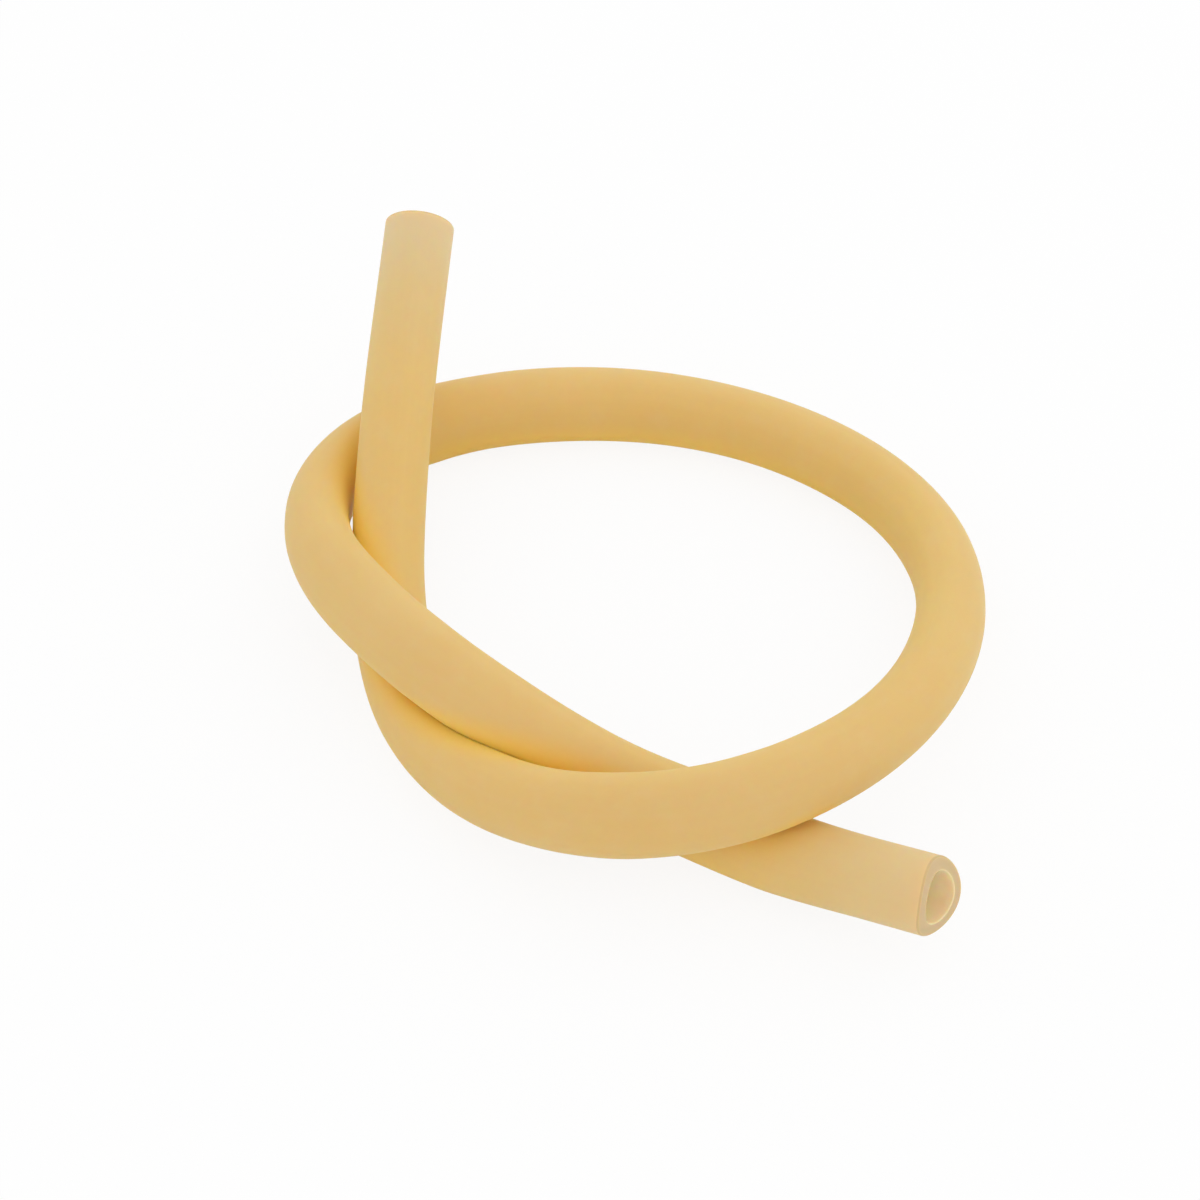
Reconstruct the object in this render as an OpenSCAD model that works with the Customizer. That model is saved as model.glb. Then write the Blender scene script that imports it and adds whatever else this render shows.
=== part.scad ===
// A length of latex rubber tubing, tied once in a loose overhand knot and laid on a flat surface.
// Millimetres, Z up, with the surface at z = 0 and the viewer towards -Y.

/* [Tubing] */
// Outside diameter where the tubing runs straight
outer_d = 9.5; // [8:0.1:11]
// Thickness of the rubber wall
wall = 1.6; // [1:0.1:2.2]
// Length of the straight stretch at each cut end, which is pushed over a barb or a glass tube
straight_end = 10; // [8:1:20]

/* [Lie] */
// Width of the knot, between its outermost guide points
knot_width = 82.5; // [78:0.5:100]
// Space left between two strands that press on each other
strand_gap = 0.3; // [0.2:0.05:0.8]
// Most that a tight bend flattens the section, as a share of its radius
flatten_limit = 0.12; // [0:0.01:0.2]

/* [Facets] */
// Flats around the bent stretch
sides = 20; // [16:4:24]
// Rings from one guide point to the next
rings_per_step = 3; // [2:1:4]

/* [Hidden] */
bore_d = outer_d - 2 * wall;

// Guide points of the bent stretch, from the end that stands up at the back to the end that points to the front.
// The third number is the height in outside diameters, because strands lie on strands. The fourth is how thick the
// rubber is there, as a share of the outside diameter, because soft tubing is uneven.
route = [
    // down from the back end, over the far side of the loop
    [-29.1, 42.6, 2.43, 0.97], [-30.6, 28.5, 1.76, 0.98], [-31.2, 17, 1.21, 0.98], [-31.5, 5.5, 0.79, 0.99],
    // on the surface, under the small left loop
    [-30.1, -6.4, 0.52, 1], [-27, -17.8, 0.46, 1.01], [-21, -28.2, 0.71, 1.02], [-12, -36.1, 1.06, 1.02],
    // over the front end's strand
    [-1, -40.5, 1.42, 1], [11, -39.9, 1.59, 0.99], [22, -34.4, 1.56, 0.99], [31.2, -25.6, 1.37, 0.98],
    // round the big loop, coming down to the surface
    [37.7, -14.2, 1.11, 0.98], [41.1, -1.5, 0.89, 0.99], [40.2, 11, 0.68, 0.99], [35.3, 21.8, 0.58, 0.98],
    [27, 30.4, 0.53, 0.99], [16.5, 36.6, 0.52, 1], [4.5, 40.2, 0.52, 1.03], [-7.5, 41, 0.52, 1.07],
    // under the back end's strand and round the small left loop
    [-19.5, 39.6, 0.52, 1.06], [-30.4, 35.4, 0.53, 1.02], [-38, 27.5, 0.68, 1], [-41.4, 16, 0.95, 1],
    [-39.6, 4.5, 1.26, 1], [-34.3, -5.8, 1.53, 1], [-26.5, -15.5, 1.58, 0.99], [-16.5, -23, 1.35, 1.03],
    // under the big loop and out to the front end
    [-5.5, -28.4, 0.93, 1.01], [6, -31.9, 0.52, 1.01], [17.5, -38.3, 0.47, 1.03], [27.3, -44.7, 0.83, 1.01]
];
last = len(route) - 1;

// The route widens with the knot
route_xs = [for (p = route) p[0]];
widen = knot_width / (max(route_xs) - min(route_xs));
guides = [for (p = route) [widen * p[0], widen * p[1], outer_d * p[2]]];
shares = [for (p = route) p[3]];

// A thin round tube flattens with the square of its bend; latex flattens a little more than the theory
flatten_share = 1.1;
mean_r = (outer_d - wall) / 2;
flatten_rate = flatten_share * pow(mean_r * mean_r / wall, 2);

// The bent stretch starts inside the wall of each straight end, a hair thinner, so that the two join
lap = 1;
join_step = 0.03;
bent_bore_r = (bore_d / 2 + join_step) / cos(180 / sides);

// Strands nearer than this press on each other, and a strand is another one this far along
press_reach = 1.4 * outer_d;
another_strand = 3 * rings_per_step;

function unit(v) = v / norm(v);

// A smooth curve led by a list's entries, which are carried straight on past both ends
function entry(list, i) =
    i < 0 ? 2 * list[0] - list[1]
    : i > last ? 2 * list[last] - list[last - 1]
    : list[i];
function blend(list, weights, i) =
    weights[0] * entry(list, i - 1) + weights[1] * entry(list, i)
    + weights[2] * entry(list, i + 1) + weights[3] * entry(list, i + 2);
function value_weights(t) =
    [pow(1 - t, 3), 3 * t * t * t - 6 * t * t + 4, 3 * (t + t * t - t * t * t) + 1, t * t * t] / 6;
function speed_weights(t) = [-pow(1 - t, 2), 3 * t * t - 4 * t, 1 + 2 * t - 3 * t * t, t * t] / 2;
function turning_weights(t) = [1 - t, 3 * t - 2, 1 - 3 * t, t];

// Stations along the curve: route step and how far along that step
stations = [
    for (s = [0 : last * rings_per_step])
        let (i = min(floor(s / rings_per_step), last - 1)) [i, s / rings_per_step - i]
];
end_station = len(stations) - 1;
centres = [for (s = stations) blend(guides, value_weights(s[1]), s[0])];
radii = [for (s = stations) outer_d / 2 * blend(shares, value_weights(s[1]), s[0])];
tangents = [for (s = stations) unit(blend(guides, speed_weights(s[1]), s[0]))];
bends = [
    for (s = stations)
        let (
            v = blend(guides, speed_weights(s[1]), s[0]),
            a = blend(guides, turning_weights(s[1]), s[0]),
            along = unit(v)
        )
        (a - (a * along) * along) / (v * v)
];

// From one station to the centres of other strands close by
function neighbours(i) = [
    for (j = [0 : end_station])
        let (away = centres[j] - centres[i])
            if (abs(j - i) > another_strand && norm(away) < press_reach) away
];

// The section's direction at an angle, made oval by the bend: flatter in the bend's own plane
function oval(i, angle) =
    let (
        side = unit(cross([0, 0, 1], tangents[i])),
        rise = cross(tangents[i], side),
        out = cos(angle) * side + sin(angle) * rise,
        bend = bends[i],
        rate = min(flatten_rate, flatten_limit / max(bend * bend, 0.000001))
    )
    out + rate * ((bend * bend) * out - 2 * (out * bend) * bend);

// How far a section point may go: its own radius, the surface below, and halfway to each neighbour
function reach(i, way, close, own) = min(concat(
    [own, way[2] < 0 ? centres[i][2] / -way[2] : own],
    [for (away = close) let (lean = way * unit(away)) if (lean > 0.2) (norm(away) - strand_gap) / 2 / lean]
));

// One ring's outer and inner points
function ring(i) = let (close = neighbours(i), own = radii[i] - join_step) [
    for (k = [0 : sides - 1])
        let (way = oval(i, k * 360 / sides), far = reach(i, way, close, own))
            [centres[i] + far * way, centres[i] + (far - (own - bent_bore_r) / norm(way)) * way]
];
function shifted(points, by) = [for (pair = points) [pair[0] + by, pair[1] + by]];
// The first and last rings are carried on into the straight ends
rings = concat(
    [shifted(ring(0), -lap * tangents[0])],
    [for (i = [1 : end_station - 1]) ring(i)],
    [shifted(ring(end_station), lap * tangents[end_station])]
);
end_ring = len(rings) - 1;

// Point numbers: skin 0 is the outside, skin 1 the bore
function number(skin, r, k) = (r * sides + k % sides) * 2 + skin;

module bent_stretch() {
    points = [for (r = rings, pair = r, point = pair) point];
    faces = concat(
        [for (r = [0 : end_ring - 1], k = [0 : sides - 1])
            [number(0, r, k), number(0, r + 1, k), number(0, r + 1, k + 1), number(0, r, k + 1)]],
        [for (r = [0 : end_ring - 1], k = [0 : sides - 1])
            [number(1, r, k), number(1, r, k + 1), number(1, r + 1, k + 1), number(1, r + 1, k)]],
        [for (k = [0 : sides - 1])
            [number(0, 0, k), number(0, 0, k + 1), number(1, 0, k + 1), number(1, 0, k)]],
        [for (k = [0 : sides - 1])
            [number(0, end_ring, k), number(1, end_ring, k),
             number(1, end_ring, k + 1), number(0, end_ring, k + 1)]]
    );
    polyhedron(points, faces, convexity = 8);
}

// A straight end with its bore and its square cut, from a place on the curve outwards
module cut_end(from, along, radius) {
    bore_over = 1;
    translate(from)
        rotate([0, acos(along[2]), atan2(along[1], along[0])])
            difference() {
                cylinder(r = radius, h = straight_end, $fn = 64);
                translate([0, 0, -bore_over])
                    cylinder(d = bore_d, h = straight_end + 2 * bore_over, $fn = 64);
            }
}

module tubing() {
    color("burlywood")
        union() {
            bent_stretch();
            cut_end(centres[0], -tangents[0], radii[0]);
            cut_end(centres[end_station], tangents[end_station], radii[end_station]);
        }
}

tubing();
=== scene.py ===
"""A length of amber latex tubing, tied once in a loose overhand knot and laid on a pale surface.

The tubing is made straight, as it comes off its roll, and is then laid along the knot's route.
Metres, Z up, with the surface at z = 0 and the viewer towards -Y.
"""

import math

import bmesh
import bpy
import numpy as np
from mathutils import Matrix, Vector


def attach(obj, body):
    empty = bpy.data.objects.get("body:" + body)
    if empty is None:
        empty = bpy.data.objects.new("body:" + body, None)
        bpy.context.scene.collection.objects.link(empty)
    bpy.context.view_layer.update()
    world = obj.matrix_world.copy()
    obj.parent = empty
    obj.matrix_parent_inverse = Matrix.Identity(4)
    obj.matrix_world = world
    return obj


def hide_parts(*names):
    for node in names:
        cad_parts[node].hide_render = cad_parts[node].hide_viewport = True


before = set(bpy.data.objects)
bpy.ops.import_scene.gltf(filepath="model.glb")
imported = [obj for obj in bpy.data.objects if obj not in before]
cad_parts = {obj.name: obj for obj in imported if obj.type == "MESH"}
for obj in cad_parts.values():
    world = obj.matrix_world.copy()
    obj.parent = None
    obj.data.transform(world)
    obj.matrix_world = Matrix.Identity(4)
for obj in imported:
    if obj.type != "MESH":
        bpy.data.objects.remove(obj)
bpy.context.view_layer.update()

# The tubing
OUTER_D = 0.0095
WALL = 0.0016
OUTER_R = OUTER_D / 2
BORE_R = OUTER_R - WALL
STRAIGHT_END = 0.010

# How it lies: pressed strands overlap by a hair, so that no slit shows between them
STRAND_GAP = -0.0001
FLATTEN_SHARE = 1.1
FLATTEN_LIMIT = 0.12
PRESS_REACH = 2 * OUTER_D
# A strand is another one when it is this far along
ANOTHER_STRAND = 0.036
# Directions that point less than this towards a strand, or down, aren't pressed by it, or by the surface
LEAST_LEAN = 0.2
LEAST_DOWN = 0.01
# A straight stretch is reckoned with this square of a bend, because its own is nothing
LEAST_BEND = 1
# A pale surface sends light up into the rubber from further away than another strand does, so the painted
# gold glow reaches further from it
FLOOR_SHARE = 0.65
# Scissors squeeze the tubing, so its front cut dips on two sides
CUT_DIP = 0.00105
CUT_TURN = math.radians(-37)

# Its mesh
SIDES = 64
RING_STEP = 0.0007
RING_DIGITS = 7
RIM_ROUND = 0.00018
RIM_SEGMENTS = 4
MERGE_WITHIN = 0.000001
PATH_STEP = 0.003

# Guide points of the bent stretch, from the end that stands up at the back to the end that points to
# the front. The third number is the height in outside diameters, and the fourth the thickness as a
# share of that diameter.
ROUTE = np.array([
    # down from the back end, over the far side of the loop
    (-0.0291, 0.0426, 2.43, 0.97), (-0.0306, 0.0285, 1.76, 0.98),
    (-0.0312, 0.017, 1.21, 0.98), (-0.0315, 0.0055, 0.79, 0.99),
    # on the surface, under the small left loop
    (-0.0301, -0.0064, 0.52, 1), (-0.027, -0.0178, 0.46, 1.01),
    (-0.021, -0.0282, 0.71, 1.02), (-0.012, -0.0361, 1.06, 1.02),
    # over the front end's strand
    (-0.001, -0.0405, 1.42, 1), (0.011, -0.0399, 1.59, 0.99),
    (0.022, -0.0344, 1.56, 0.99), (0.0312, -0.0256, 1.37, 0.98),
    # round the big loop, coming down to the surface
    (0.0377, -0.0142, 1.11, 0.98), (0.0411, -0.0015, 0.89, 0.99),
    (0.0402, 0.011, 0.68, 0.99), (0.0353, 0.0218, 0.58, 0.98),
    (0.027, 0.0304, 0.53, 0.99), (0.0165, 0.0366, 0.52, 1),
    (0.0045, 0.0402, 0.52, 1.03), (-0.0075, 0.041, 0.52, 1.07),
    # under the back end's strand and round the small left loop
    (-0.0195, 0.0396, 0.52, 1.06), (-0.0304, 0.0354, 0.53, 1.02),
    (-0.038, 0.0275, 0.68, 1), (-0.0414, 0.016, 0.95, 1),
    (-0.0396, 0.0045, 1.26, 1), (-0.0343, -0.0058, 1.53, 1),
    (-0.0265, -0.0155, 1.58, 0.99), (-0.0165, -0.023, 1.35, 1.03),
    # under the big loop and out to the front end
    (-0.0055, -0.0284, 0.93, 1.01), (0.006, -0.0319, 0.52, 1.01),
    (0.0175, -0.0383, 0.47, 1.03), (0.0273, -0.0447, 0.83, 1.01),
])

# The viewpoint of the photograph
VIEW_TARGET = Vector((-0.004, -0.0005, 0.009))
VIEW_ELEVATION = math.radians(46)
VIEW_DISTANCE = 0.399
HALF_PICTURE_PX = 600
FOCAL_PX = 3150
SENSOR_MM = 36
NEAREST_SEEN = 0.01


def place_camera():
    """The camera, at the photograph's height and distance."""
    data = bpy.data.cameras.new("camera")
    data.sensor_width = SENSOR_MM
    data.lens = SENSOR_MM / 2 * FOCAL_PX / HALF_PICTURE_PX
    data.clip_start = NEAREST_SEEN
    camera = bpy.data.objects.new("camera", data)
    toward = Vector((0, -math.cos(VIEW_ELEVATION), math.sin(VIEW_ELEVATION)))
    camera.location = VIEW_TARGET + VIEW_DISTANCE * toward
    camera.rotation_euler = (math.pi / 2 - VIEW_ELEVATION, 0, 0)
    bpy.context.scene.collection.objects.link(camera)
    bpy.context.scene.camera = camera


def lengths_of(rows):
    """Each row's length, in a column of its own."""
    return np.linalg.norm(rows, axis=-1, keepdims=True)


class Lie:
    """The line that the tubing follows, by length from the back mouth."""

    FINE = 200

    def __init__(self, route):
        route = route * (1, 1, OUTER_D, 1)
        before = 2 * route[0] - route[1]
        after = 2 * route[-1] - route[-2]
        self.guides = np.vstack([before, route, after])
        steps = np.linspace(0, len(route) - 1, (len(route) - 1) * self.FINE + 1)
        points = self.curve(steps)[0]
        lengths = np.linalg.norm(np.diff(points, axis=0), axis=1)
        self.steps = steps
        self.travel = STRAIGHT_END + np.concatenate([[0], np.cumsum(lengths)])
        self.length = self.travel[-1] + STRAIGHT_END

    def curve(self, steps):
        """Place, speed, turning and thickness of the smooth curve at these route steps."""
        i = np.minimum(np.floor(steps).astype(int), len(self.guides) - 4)
        t = (steps - i)[:, None]
        a, b, c, d = (self.guides[i + k] for k in range(4))
        middle = (3 * t**3 - 6 * t**2 + 4) * b + (3 * (t + t**2 - t**3) + 1) * c
        place = ((1 - t) ** 3 * a + middle + t**3 * d) / 6
        speed = (-(1 - t) ** 2 * a + (3 * t**2 - 4 * t) * b + (1 + 2 * t - 3 * t**2) * c + t**2 * d) / 2
        turning = (1 - t) * a + (3 * t - 2) * b + (1 - 3 * t) * c + t * d
        return place[:, :3], speed[:, :3], turning[:, :3], place[:, 3]

    def at(self, along):
        """Centres, headings, bends and thickness shares at these lengths from the back mouth."""
        place, speed, turning, share = self.curve(np.interp(along, self.travel, self.steps))
        heading = speed / lengths_of(speed)
        across = turning - (turning * heading).sum(1, keepdims=True) * heading
        bend = across / lengths_of(speed) ** 2
        past = along - np.clip(along, self.travel[0], self.travel[-1])
        return place + past[:, None] * heading, heading, bend, share


def oval_ways(heading, bend, angles):
    """Directions round each ring, made oval by its bend: flatter in the bend's own plane."""
    side = np.cross((0, 0, 1), heading)
    side = side / lengths_of(side)
    rise = np.cross(heading, side)
    out = np.cos(angles)[:, None] * side + np.sin(angles)[:, None] * rise
    tight = (bend**2).sum(1, keepdims=True)
    mean_r = (OUTER_R + BORE_R) / 2
    most = FLATTEN_LIMIT / np.maximum(tight, LEAST_BEND)
    rate = np.minimum(FLATTEN_SHARE * (mean_r**2 / WALL) ** 2, most)
    return out + rate * (tight * out - 2 * (out * bend).sum(1, keepdims=True) * bend)


def lay_tubing(unbent, lie):
    """Lays the straight tubing's points along the knot, pressed flat on the surface and on other strands.

    Gives their places, how far each lies from another strand or the surface, and how far its bend
    stretches it.
    """
    along, rings = np.unique(np.round(unbent[:, 0], RING_DIGITS), return_inverse=True)
    centre, heading, bend, share = lie.at(along)
    angles = np.arctan2(unbent[:, 2], unbent[:, 1])
    ways = oval_ways(heading[rings], bend[rings], angles)
    own_r = (OUTER_R * share)[rings]
    reach = own_r.copy()
    down = ways[:, 2] < -LEAST_DOWN
    reach[down] = np.minimum(reach[down], -centre[rings[down], 2] / ways[down, 2])
    gap = FLOOR_SHARE * (centre[rings, 2] + reach * ways[:, 2])
    for ring in range(len(along)):
        away = centre - centre[ring]
        apart = np.linalg.norm(away, axis=1)
        near = (np.abs(along - along[ring]) > ANOTHER_STRAND) & (apart < PRESS_REACH)
        if near.any():
            own = np.flatnonzero(rings == ring)
            lean = ways[own] @ (away[near] / apart[near, None]).T
            halfway = (apart[near] - STRAND_GAP) / 2 / np.maximum(lean, LEAST_LEAN)
            reach[own] = np.minimum(reach[own], halfway.min(1))
            skin = centre[ring] + reach[own, None] * ways[own]
            to_strand = np.linalg.norm(skin[:, None] - centre[near], axis=2).min(1) - OUTER_R
            gap[own] = np.minimum(gap[own], to_strand)
    into_wall = (OUTER_R - np.hypot(unbent[:, 1], unbent[:, 2])) / WALL
    depth = into_wall * (own_r - BORE_R)
    places = centre[rings] + (reach - depth / lengths_of(ways)[:, 0])[:, None] * ways
    stretch = -(ways * bend[rings]).sum(1) * own_r
    into_end = np.clip((along - lie.travel[-1]) / STRAIGHT_END, 0, 1)[rings]
    from_middle = 1 - into_wall * WALL / OUTER_R
    dip = CUT_DIP * into_end * (from_middle * np.sin(angles - CUT_TURN)) ** 2
    return places - dip[:, None] * heading[rings], gap, stretch


def straight_tube(length):
    """The tubing before it is laid: its wall's section, with softened corners, spun round the axis."""
    bm = bmesh.new()
    corners = [(0, BORE_R), (length, BORE_R), (length, OUTER_R), (0, OUTER_R)]
    section = bm.faces.new([bm.verts.new((x, y, 0)) for x, y in corners])
    bmesh.ops.bevel(bm, geom=section.verts[:], offset=RIM_ROUND, segments=RIM_SEGMENTS, profile=0.5,
                    affect="VERTICES", material=-1)
    bmesh.ops.delete(bm, geom=bm.faces[:], context="FACES_ONLY")
    long_edges = [e for e in bm.edges if e.calc_length() > length / 2]
    bmesh.ops.subdivide_edges(bm, edges=long_edges, cuts=round(length / RING_STEP))
    bmesh.ops.spin(bm, geom=bm.verts[:] + bm.edges[:], cent=(0, 0, 0), axis=(1, 0, 0), dvec=(0, 0, 0),
                   angle=2 * math.pi, steps=SIDES, use_merge=True)
    bmesh.ops.remove_doubles(bm, verts=bm.verts[:], dist=MERGE_WITHIN)
    bmesh.ops.recalc_face_normals(bm, faces=bm.faces[:])
    return bm


def make_tubing():
    """The one piece: tubing laid along the knot. Its straight shape is kept for the finish to follow."""
    lie = Lie(ROUTE)
    bm = straight_tube(lie.length)
    mesh = bpy.data.meshes.new("latex_tubing")
    bm.to_mesh(mesh)
    bm.free()
    unbent = np.zeros(len(mesh.vertices) * 3)
    mesh.vertices.foreach_get("co", unbent)
    unbent = unbent.reshape(-1, 3)
    places, gap, stretch = lay_tubing(unbent, lie)
    mesh.vertices.foreach_set("co", places.ravel())
    mesh.attributes.new("unbent", "FLOAT_VECTOR", "POINT").data.foreach_set("vector", unbent.ravel())
    mesh.attributes.new("strand_gap", "FLOAT", "POINT").data.foreach_set("value", gap)
    mesh.attributes.new("stretch", "FLOAT", "POINT").data.foreach_set("value", stretch)
    mesh.polygons.foreach_set("use_smooth", [True] * len(mesh.polygons))
    mesh.update()
    tubing = bpy.data.objects.new("latex_tubing", mesh)
    bpy.context.scene.collection.objects.link(tubing)
    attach(tubing, "root")
    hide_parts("tubing")
    path = lie.at(np.linspace(0, lie.length, 1 + round(lie.length / PATH_STEP)))[0]
    return tubing, lie.length


class Flow:
    """A value inside a finish, so that its maths can be written as an expression."""

    def __init__(self, finish, socket):
        self.finish = finish
        self.socket = socket

    def __add__(self, other):
        return self.finish.maths("ADD", self, other)

    def __radd__(self, other):
        return self.finish.maths("ADD", other, self)

    def __rsub__(self, other):
        return self.finish.maths("SUBTRACT", other, self)

    def __mul__(self, other):
        return self.finish.maths("MULTIPLY", self, other)

    def __rmul__(self, other):
        return self.finish.maths("MULTIPLY", other, self)

    def __truediv__(self, other):
        return self.finish.maths("DIVIDE", self, other)


class Finish:
    """A material, or the world, and the one way that nodes are added to it."""

    def __init__(self, owner):
        owner.use_nodes = True
        self.tree = owner.node_tree
        self.tree.nodes.clear()

    def add(self, kind, settings=None, sockets=None, out=0):
        """A new node, set and linked. Gives one of its outputs, or the node itself if it has none."""
        node = self.tree.nodes.new(kind)
        for name, value in (settings or {}).items():
            setattr(node, name, value)
        for name, value in (sockets or {}).items():
            if isinstance(value, Flow):
                self.tree.links.new(value.socket, node.inputs[name])
            else:
                node.inputs[name].default_value = value
        return Flow(self, node.outputs[out]) if node.outputs else node

    def maths(self, operation, first, second):
        """One step of arithmetic on two numbers."""
        return self.add("ShaderNodeMath", {"operation": operation}, {0: first, 1: second})

    def mix(self, amount, plain, other):
        """A colour between two colours."""
        return self.add("ShaderNodeMix", {"data_type": "RGBA"}, {0: amount, 6: plain, 7: other}, out=2)

    def step(self, value, low, high):
        """0 below low, 1 above high, and smooth between them."""
        return self.add("ShaderNodeMapRange", {"interpolation_type": "SMOOTHSTEP"},
                        {0: value, 1: low, 2: high, 3: 0.0, 4: 1.0})

    def noise(self, vector, scale, detail, roughness=0.5):
        """A cloudy pattern between 0 and 1."""
        return self.add("ShaderNodeTexNoise", None,
                        {"Vector": vector, "Scale": scale, "Detail": detail, "Roughness": roughness})

    def stretched(self, vector, scale):
        """A place whose three measures are each multiplied."""
        return self.add("ShaderNodeMapping", None, {"Vector": vector, "Scale": scale})


# Linear colours
LATEX_SLACK = (0.805, 0.56, 0.185, 1)
LATEX_STRETCHED = (0.757, 0.525, 0.215, 1)
LATEX_DEEP = (0.75, 0.495, 0.17, 1)
LATEX_BLOOM = (0.775, 0.56, 0.26, 1)
# Painted light: a deeper gold painted where strands touch or lie near the surface, for light that has
# passed through rubber
LATEX_PAINTED_GLOW_GOLD = (0.93, 0.605, 0.11, 1)
# Painted light: a paler gold painted where strands press together, lifting the shade in the crease
LATEX_PAINTED_CONTACT_LIGHT = (1.0, 0.69, 0.15, 1)
# Painted light: cut ends and the back end's mouth painted paler, for light that comes in at them
LATEX_PAINTED_END_LIGHT = (0.72, 0.605, 0.365, 1)
LATEX_CUT = (0.62, 0.485, 0.275, 1)
# Painted light: the bore painted pale, for light that comes through its wall and in at the mouth
LATEX_BORE_PAINTED_LIGHT = (1.0, 0.872, 0.59, 1)
# Painted shade: a dark line painted round the outer edge of each cut
RIM_PAINTED_SHADE = (0.46, 0.34, 0.19, 1)
WHITE = (1, 1, 1, 1)

# Patterns in the latex, in repeats to the metre, and how deep they are
CLOUDS = 70
BLOOM = 260
GRAIN = 3200
FORMING_LINES = (10, 900, 900)
GRAIN_DEPTH = 0.000012
LINE_DEPTH = 0.00002
TONE_FADE = (0.3, 0.7)
BLOOM_FADE = (0.45, 0.75)
# Where colours start and end: how far the latex is stretched, its distance from another strand,
# its distance from a cut end, and the share of the wall that lies outside it
STRETCH_FADE = (-0.15, 0.15)
PAINTED_GLOW_FADE = (-0.0002, 0.0045)
PAINTED_CONTACT_LIGHT_FADE = (-0.0002, 0.0006)
PAINTED_GLOW_FROM_END = (0.005, 0.04)
PAINTED_END_LIGHT_FADE = (0, 0.03)
PAINTED_BACK_END_LIGHT_FADE = (0, 0.012)
BORE_FROM_END = (-0.003, 0.003)
RIM_FROM_END = (0.0001, 0.0003)
RIM_IN_WALL = (0.05, 0.14)
CUT_IN_WALL = (0.06, 0.16)
BORE_IN_WALL = (0.9, 0.98)
# How far light goes into the latex, with red furthest
LIGHT_DEPTH = 0.002
LIGHT_SHARES = (1.0, 0.5, 0.2)


def latex_finish(length):
    """Amber latex: faint lengthwise forming lines, a dusty bloom, a fine matt grain, and cut ends painted
    paler for light that comes in at them.

    It is duller where a bend stretches it. Where strands meet or lie near the surface, light that has
    passed through rubber is painted in as a deeper gold; the bore is painted pale, and a dark line of
    painted shade runs round the outer edge of each cut.
    """
    material = bpy.data.materials.new("amber_latex")
    finish = Finish(material)
    unbent = finish.add("ShaderNodeAttribute", {"attribute_name": "unbent"}, out=1)
    along = finish.add("ShaderNodeSeparateXYZ", None, {0: unbent})
    from_end = finish.maths("MINIMUM", along, length - along)
    spoke = finish.add("ShaderNodeVectorMath", {"operation": "MULTIPLY"}, {0: unbent, 1: (0, 1, 1)})
    radius = finish.add("ShaderNodeVectorMath", {"operation": "LENGTH"}, {0: spoke}, out=1)
    into_wall = (OUTER_R - radius) / WALL
    stretch = finish.add("ShaderNodeAttribute", {"attribute_name": "stretch"}, out=2)
    gap = finish.add("ShaderNodeAttribute", {"attribute_name": "strand_gap"}, out=2)

    clouds = finish.noise(unbent, CLOUDS, detail=3)
    lines = finish.noise(finish.stretched(unbent, FORMING_LINES), scale=1, detail=2)
    tone = finish.step(clouds * 0.7 + lines * 0.3, *TONE_FADE)
    bloom = finish.step(finish.noise(unbent, BLOOM, detail=4, roughness=0.6), *BLOOM_FADE)
    grain = finish.noise(unbent, GRAIN, detail=3, roughness=0.6)

    # Painted light: deeper gold near another strand or the surface, away from the cut ends
    near = (1 - finish.step(gap, *PAINTED_GLOW_FADE)) * finish.step(from_end, *PAINTED_GLOW_FROM_END)
    # Painted light: a paler gold where strands press together
    painted_contact_light = 1 - finish.step(gap, *PAINTED_CONTACT_LIGHT_FADE)
    # Painted light: paler towards each cut end
    painted_end_light = 1 - finish.step(from_end, *PAINTED_END_LIGHT_FADE)
    # Painted light: the back end stands up, and light falls down its bore, so it is painted paler near
    # its mouth
    painted_back_end_light = 1 - finish.step(along, *PAINTED_BACK_END_LIGHT_FADE)
    cut = finish.step(into_wall, *CUT_IN_WALL)
    # Painted light: the bore is painted pale, less so right at each mouth
    bore = finish.step(into_wall, *BORE_IN_WALL) * finish.step(from_end, *BORE_FROM_END)
    # Painted shade: a dark line round the outer edge of each cut
    painted_rim_shade = (1 - finish.step(from_end, *RIM_FROM_END)) * (1 - finish.step(into_wall, *RIM_IN_WALL))
    layers = [
        # how much of it, and its colour
        (0.5 - 0.5 * tone, LATEX_DEEP),
        (bloom * 0.3, LATEX_BLOOM),
        (near * 0.9, LATEX_PAINTED_GLOW_GOLD),
        (painted_contact_light * 0.8, LATEX_PAINTED_CONTACT_LIGHT),
        (painted_end_light * 0.55, LATEX_PAINTED_END_LIGHT),
        (painted_back_end_light * 0.5, LATEX_PAINTED_END_LIGHT),
        (cut, LATEX_CUT),
        (bore, LATEX_BORE_PAINTED_LIGHT),
        (painted_rim_shade * 0.7, RIM_PAINTED_SHADE),
    ]
    colour = finish.mix(finish.step(stretch, *STRETCH_FADE), LATEX_SLACK, LATEX_STRETCHED)
    for amount, other in layers:
        colour = finish.mix(amount, colour, other)

    rough = 0.55 + bloom * 0.12 + grain * 0.08
    height = grain * GRAIN_DEPTH + lines * LINE_DEPTH
    bump = finish.add("ShaderNodeBump", None, {"Strength": 0.6, "Distance": 1.0, "Height": height})
    shader = finish.add("ShaderNodeBsdfPrincipled", {"subsurface_method": "RANDOM_WALK"}, {
        "Base Color": colour, "Roughness": rough, "Normal": bump, "IOR": 1.52, "Specular IOR Level": 0.3,
        "Subsurface Weight": 1.0, "Subsurface Radius": LIGHT_SHARES, "Subsurface Scale": LIGHT_DEPTH,
    })
    finish.add("ShaderNodeOutputMaterial", None, {"Surface": shader})
    return material


def seen_straight(finish):
    """1 for what the camera, a reflection or something clear sees, and 0 for light on the tubing."""
    rays = finish.add("ShaderNodeLightPath")
    outputs = rays.socket.node.outputs
    camera, glossy, clear = (
        Flow(finish, outputs[n]) for n in ("Is Camera Ray", "Is Glossy Ray", "Is Transmission Ray")
    )
    return finish.maths("MINIMUM", camera + glossy + clear, 1.0)


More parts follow.
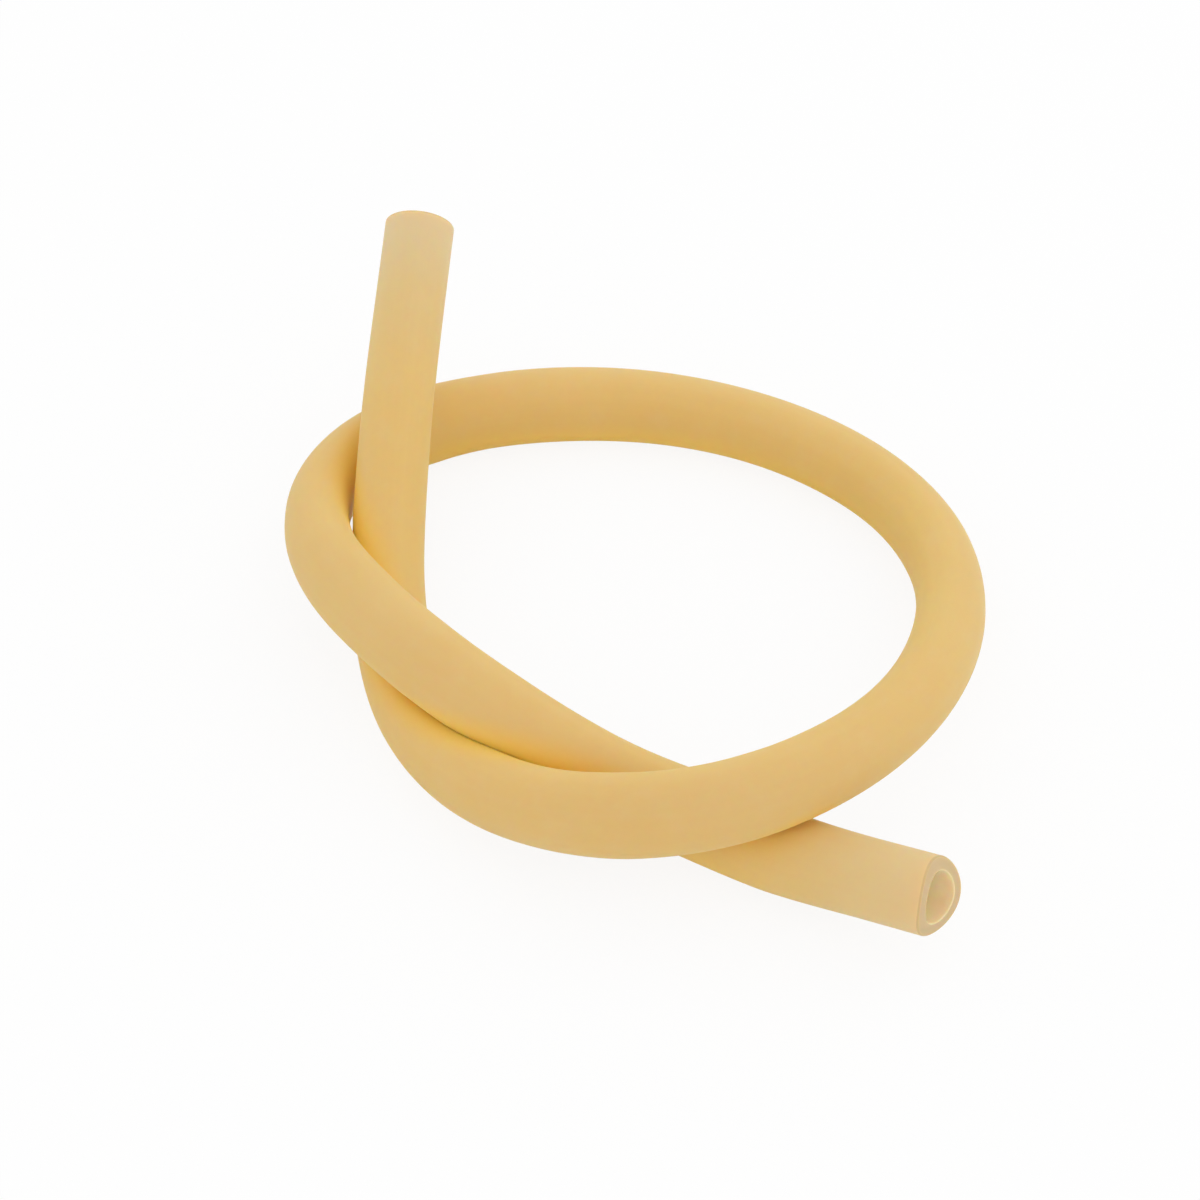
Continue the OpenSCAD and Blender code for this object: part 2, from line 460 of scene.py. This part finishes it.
FLOOR_HALF = 2.0
FLOOR_COLOUR = (0.95, 0.95, 0.95, 1)
FLOOR_SHOWN_WHITE = 0.88


def pale_floor():
    """A pale surface that keeps a faint shadow."""
    bm = bmesh.new()
    bmesh.ops.create_grid(bm, x_segments=1, y_segments=1, size=FLOOR_HALF)
    mesh = bpy.data.meshes.new("pale_floor")
    bm.to_mesh(mesh)
    bm.free()
    floor = bpy.data.objects.new("pale_floor", mesh)
    bpy.context.scene.collection.objects.link(floor)
    material = bpy.data.materials.new("pale_floor")
    finish = Finish(material)
    paper = finish.add("ShaderNodeBsdfDiffuse", None, {"Color": FLOOR_COLOUR})
    white = finish.add("ShaderNodeEmission", None, {"Color": WHITE, "Strength": 1.0})
    shown = finish.add("ShaderNodeMixShader", None,
                       {0: seen_straight(finish) * FLOOR_SHOWN_WHITE, 1: paper, 2: white})
    finish.add("ShaderNodeOutputMaterial", None, {"Surface": shown})
    mesh.materials.append(material)


WORLD_LEVEL = 0.94
LAMP_SIZE = 0.6
LAMPS = [
    # name, place, watts
    ("right", (0.5, 0.35, 0.6), 0.5),
    ("front", (0.3, -0.8, 0.35), 0.25),
]


def soft_light():
    """An even pale surround, and two broad lamps aimed at the knot."""
    world = bpy.data.worlds.new("surround")
    bpy.context.scene.world = world
    finish = Finish(world)
    level = WORLD_LEVEL + seen_straight(finish) * (1 - WORLD_LEVEL)
    surround = finish.add("ShaderNodeBackground", None, {"Color": WHITE, "Strength": level})
    finish.add("ShaderNodeOutputWorld", None, {"Surface": surround})
    for name, place, watts in LAMPS:
        data = bpy.data.lights.new(name, "AREA")
        data.size = LAMP_SIZE
        data.energy = watts
        lamp = bpy.data.objects.new(name, data)
        lamp.location = place
        lamp.rotation_euler = (-lamp.location).to_track_quat("-Z", "Y").to_euler()
        bpy.context.scene.collection.objects.link(lamp)


place_camera()
tubing, tubing_length = make_tubing()
tubing.data.materials.append(latex_finish(tubing_length))
pale_floor()
soft_light()
bpy.context.scene.view_settings.view_transform = "Standard"
